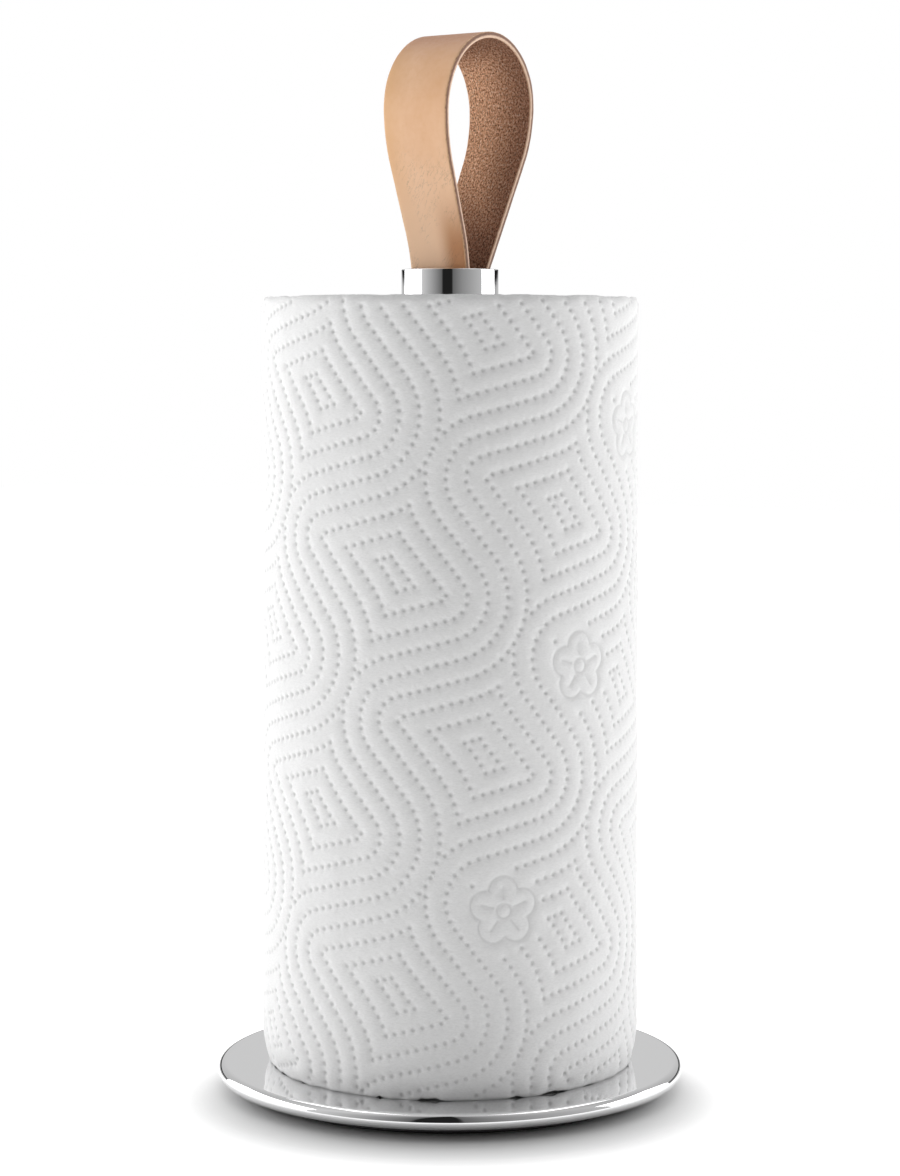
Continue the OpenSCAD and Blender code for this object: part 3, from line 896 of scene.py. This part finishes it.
def rectangle_border(low, high):
    """Points round a rectangle at about equal steps, anticlockwise from its low corner."""
    across = np.linspace(low[0], high[0], round((high[0] - low[0]) / EDGE_STEP) + 1)
    up = np.linspace(low[1], high[1], round((high[1] - low[1]) / EDGE_STEP) + 1)
    return np.array(
        [(a, low[1]) for a in across[:-1]] + [(high[0], b) for b in up[:-1]]
        + [(a, high[1]) for a in across[:0:-1]] + [(low[0], b) for b in up[:0:-1]]
    )


def even_grid(low, high, step, margin):
    """Staggered points inside a rectangle, at least margin away from its edges."""
    rows = np.arange(low[1] + margin, high[1] - margin, step * 0.87)
    starts = [low[0] + margin + (i % 2) * step / 2 for i in range(len(rows))]
    end = high[0] - margin
    return np.array([(a, b) for b, s in zip(rows, starts) for a in np.arange(s, end, step)])


def triangles_of(points):
    """Triangles over flat points, in their own order."""
    made = delaunay_2d_cdt([Vector(p) for p in points], [], [], 0, 1e-6)
    first = [sources[0] for sources in made[3]]
    return [tuple(first[i] for i in face) for face in made[2]]


def paper_sheet(name, start, end, radius_at, lift_at, perforated, dots):
    """A thin embossed sheet round the roll from one direction to another, closed on all sides."""
    low = np.array([math.radians(start - VIEW_ANGLE) * ROLL_R / MM, ROLL_BOTTOM])
    high = np.array([math.radians(end - VIEW_ANGLE) * ROLL_R / MM, ROLL_HEAD])
    near = dots[((dots > low + 1.3) & (dots < high - 1.3)).all(axis=1)]
    room_low, room_high = low + NO_FLOWERS_NEAR_EDGE, high - NO_FLOWERS_NEAR_EDGE
    flowers = [
        flower_lines(p) for p in FLOWER_PLACES if (p > room_low).all() and (p < room_high).all()
    ]
    border = rectangle_border(low, high)
    rings = [near] + [
        near + radius * DOT_R * unit(45 * k + twist)
        for radius, twist in ((0.5, 0), (1.0, 22.5)) for k in range(8)
    ]
    grid = even_grid(low, high, GRID_STEP, 0.9)
    grid = grid[distances(tree_of(near), grid) > DOT_R + 0.45]
    drawn = np.vstack(flowers) if flowers else np.array([low - 99])
    drawn_tree = tree_of(drawn)
    grid = grid[distances(drawn_tree, grid) > 1.1]
    fine = [p + 0.62 * unit(90 * k + 45) for p in drawn for k in range(4)] if flowers else []
    outer = np.vstack([border, *rings, grid] + ([drawn] if flowers else []))
    if flowers:
        fine = np.array(fine)
        fine = fine[distances(drawn_tree, fine) > 0.5]
        spaced = tree_of(fine)
        alone = [
            not any(j < i for _, j, _ in spaced.find_range((a, b, 0), 0.4))
            for i, (a, b) in enumerate(fine)
        ]
        outer = np.vstack([outer, fine[alone]])
    inner = np.vstack([border, even_grid(low, high, INNER_STEP, 4.0)])
    dot_gap = distances(tree_of(near), outer)
    line_gap = distances(drawn_tree, outer)
    in_dot = 1 - smoothstep(0.12, DOT_R, dot_gap)
    in_line = 1 - smoothstep(0.05, 0.75, line_gap)
    between = smoothstep(0.9, 3.0, np.minimum(dot_gap, line_gap + 0.6))
    relief = SWELL * between - DOT_DEPTH * in_dot - LINE_DEPTH * in_line
    edge_gap = np.minimum(np.minimum(outer - low, high - outer).min(axis=1), 9)
    relief *= smoothstep(0, 1.2, edge_gap)

    def place(point, depth):
        """The point in space, with the unevenness of the edges and the slits of a perforation."""
        around, height = point
        share = (around - low[0]) / (high[0] - low[0])
        foot = np.clip(1 - (height - ROLL_BOTTOM) / 5, 0, 1)
        low_lift = (1.5 * max(0.0, edge_wave(around, 3.0) - 0.3) - 0.24) * foot
        head_drop = 0.6 * edge_wave(around, 11.0) * np.clip(1 - (ROLL_HEAD - height) / 4, 0, 1)
        slack = 0.7 * edge_wave(around, 7.0) * np.clip(1 - (height - ROLL_BOTTOM) / 9, 0, 1)
        radius = radius_at(share) + wrinkle(around, height) - side_profile(height) + depth
        radius += slack + lift_at(high[0] - around)
        if share in perforated and round(height / EDGE_STEP) % 6:
            radius -= SLIT_DEPTH
        return to_space(around, height + low_lift - head_drop, radius)

    inner_edge = np.minimum(np.minimum(inner - low, high - inner).min(axis=1), 9)
    inner_depth = -SHEET_T - 0.55 * smoothstep(0, 4, inner_edge)
    points = [place(p, h) for p, h in zip(outer, relief)]
    points += [place(p, d) for p, d in zip(inner, inner_depth)]
    count = len(border)
    faces = triangles_of(outer)
    faces += [tuple(i + len(outer) for i in face[::-1]) for face in triangles_of(inner)]
    faces += [(i, i + len(outer), (i + 1) % count + len(outer), (i + 1) % count) for i in range(count)]
    sheet = mesh_object(name, points, faces, smooth=True)
    sheet.data.set_sharp_from_angle(angle=math.radians(70))
    # how deep each point is pressed, which greys the paper there: partly pressing, partly painted shade
    pressed = sheet.data.attributes.new("pressed", "FLOAT", "POINT")
    amount = np.r_[np.maximum(in_dot, 0.6 * in_line), np.zeros(len(inner))]
    pressed.data.foreach_set("value", amount.astype(np.float32))
    drop_loose_points(sheet.data)
    return sheet


def make_sheets(material):
    """The end sheet, and the part of the next sheet that it leaves uncovered."""
    dots = spread_dots(np.array([-120.0, ROLL_BOTTOM]), np.array([256.0, ROLL_HEAD]))
    outer_r = ROLL_R / MM

    def loose(gap):
        """How far the sheet lifts off at that distance from its free edge."""
        return 1.3 * np.clip(1 - gap / 13, 0, 1) ** 2

    def no_lift(gap):
        return 0.0

    def level(share):
        return outer_r

    def swelling(share):
        return outer_r - 0.75 + 0.75 * float(smoothstep(0.0, 1.0, share))

    end_sheet = paper_sheet("paper_end_sheet", SHEET_START, SHEET_END, level, loose, (0.0,), dots)
    finish_piece(end_sheet, "roll", "white_paper", material, "end_sheet")
    next_sheet = paper_sheet(
        "paper_next_sheet", SHEET_END - 4, SHEET_START + 360 - 0.15, swelling, no_lift, (1.0,), dots
    )
    finish_piece(next_sheet, "roll", "wound_paper", material, "paper_roll")


def make_wound_paper(material):
    """The wound layers under the outer sheets, with the edges of the layers at both ends."""
    segments = WOUND_SEGMENTS
    inner_r, outer_r = CORE_R / MM + 0.1, ROLL_R / MM - 1.35
    pitch = LAYER_PITCH / MM
    layers = int((outer_r - inner_r) / pitch)
    rows = []
    for layer in range(layers):
        rows.append((inner_r + layer * pitch, 0.55, layer))
        rows.append((inner_r + (layer + 0.35) * pitch, 0.0, layer))
        rows.append((inner_r + (layer + 0.75) * pitch, 0.0, layer))
    rows.append((outer_r, 0.9, layers))
    points = []
    for end, sign in ((ROLL_HEAD - 0.1, 1), (ROLL_BOTTOM + 0.1, -1)):
        for radius, drop, layer in rows if sign > 0 else rows[::-1]:
            for i in range(segments):
                angle = 2 * math.pi * i / segments
                draw_in = side_profile(ROLL_BOTTOM if sign < 0 else ROLL_HEAD) * (radius / outer_r) ** 6
                x, y = radius * math.cos(angle), radius * math.sin(angle)
                jitter = noise.noise(Vector((x / 14, y / 14, layer * 0.37 + sign * 9)))
                depth = drop + 0.25 + 0.5 * max(-0.4, jitter)
                scale = (radius - draw_in) / radius * MM
                points.append((x * scale, y * scale, (end - sign * depth) * MM))
        if sign > 0:
            for height in (ROLL_HEAD - 3, ROLL_HEAD - 120, ROLL_BOTTOM + 12, ROLL_BOTTOM + 6):
                for i in range(segments):
                    angle = 2 * math.pi * i / segments
                    radius = outer_r - float(side_profile(height))
                    side_r = radius * MM
                    points.append((side_r * math.cos(angle), side_r * math.sin(angle), height * MM))
    faces = [face[::-1] for face in ring_faces(len(points) // segments, segments)]
    wound = mesh_object("paper_wound", points, faces, smooth=True)
    wound.data.set_sharp_from_angle(angle=math.radians(50))
    finish_piece(wound, "roll", "wound_paper", material, "paper_roll")


def make_core(material):
    """Cardboard tube with the spiral seams of its two plies."""
    segments, bore, slope = CORE_SEGMENTS, CORE_R - 1.0 * MM, 0.75
    heights = np.linspace(CORE_LOW, ROLL_TOP, 201)
    points = []
    for side, radius in ((1, CORE_R), (-1, bore)):
        for height in heights if side > 0 else heights[::-1]:
            for i in range(segments):
                angle = 2 * math.pi * i / segments
                along = (height / MM * slope / (2 * math.pi * radius / MM) + i / segments) * 2 % 1
                seam = min(along, 1 - along) * 60
                groove = 0.16 * MM * max(0.0, 1 - seam)
                end = min(height - CORE_LOW, ROLL_TOP - height)
                soft = 0.25 * MM * max(0.0, 1 - end / (0.6 * MM))
                r = radius - side * (groove + soft)
                points.append((r * math.cos(angle), r * math.sin(angle), height))
    core = mesh_object("core_board", points, ring_faces(2 * len(heights), segments), smooth=True)
    core.data.set_sharp_from_angle(angle=math.radians(50))
    finish_piece(core, "core", "core_cardboard", material, "roll_core")


# ---------------------------------------------------------------- the rest of the CAD nodes

def paint_nodes(material, *nodes):
    """Gives CAD nodes that keep their own shape a material."""
    for name in nodes:
        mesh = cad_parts[name].data
        mesh.materials.clear()
        mesh.materials.append(material)


make_camera()
make_lights()
make_world()
make_floor()
bpy.context.scene.view_settings.view_transform = "Standard"

steel = polished_steel()
make_base_shell(steel)
make_column(steel)
make_collar(steel)
make_strap(leather_grain(), leather_flesh(), leather_edge())
make_sheets(paper_material("tissue"))
make_wound_paper(paper_material("tissue_layers", with_layers=True))
make_core(cardboard())

paint_nodes(cast_iron(), "ballast_disc")
paint_nodes(moulded("black_plastic", (0.022, 0.022, 0.024), 0.6, 1600, 0.00006), "base_cover")
paint_nodes(moulded("foot_rubber", (0.016, 0.016, 0.016), 0.85, 2400, 0.00008), "foot_ring")
plated = machined_steel("plated_steel", (0.60, 0.61, 0.62), 0.32)
paint_nodes(
    plated, "cover_screws", "centre_bolt", "bolt_washer", "locating_pin", "tube_plug",
    "clamp_block", "clamp_jaw_left", "clamp_jaw_right", "retaining_pin",
)
paint_nodes(machined_steel("black_oxide_steel", (0.11, 0.11, 0.12), 0.42), "clamp_screws")
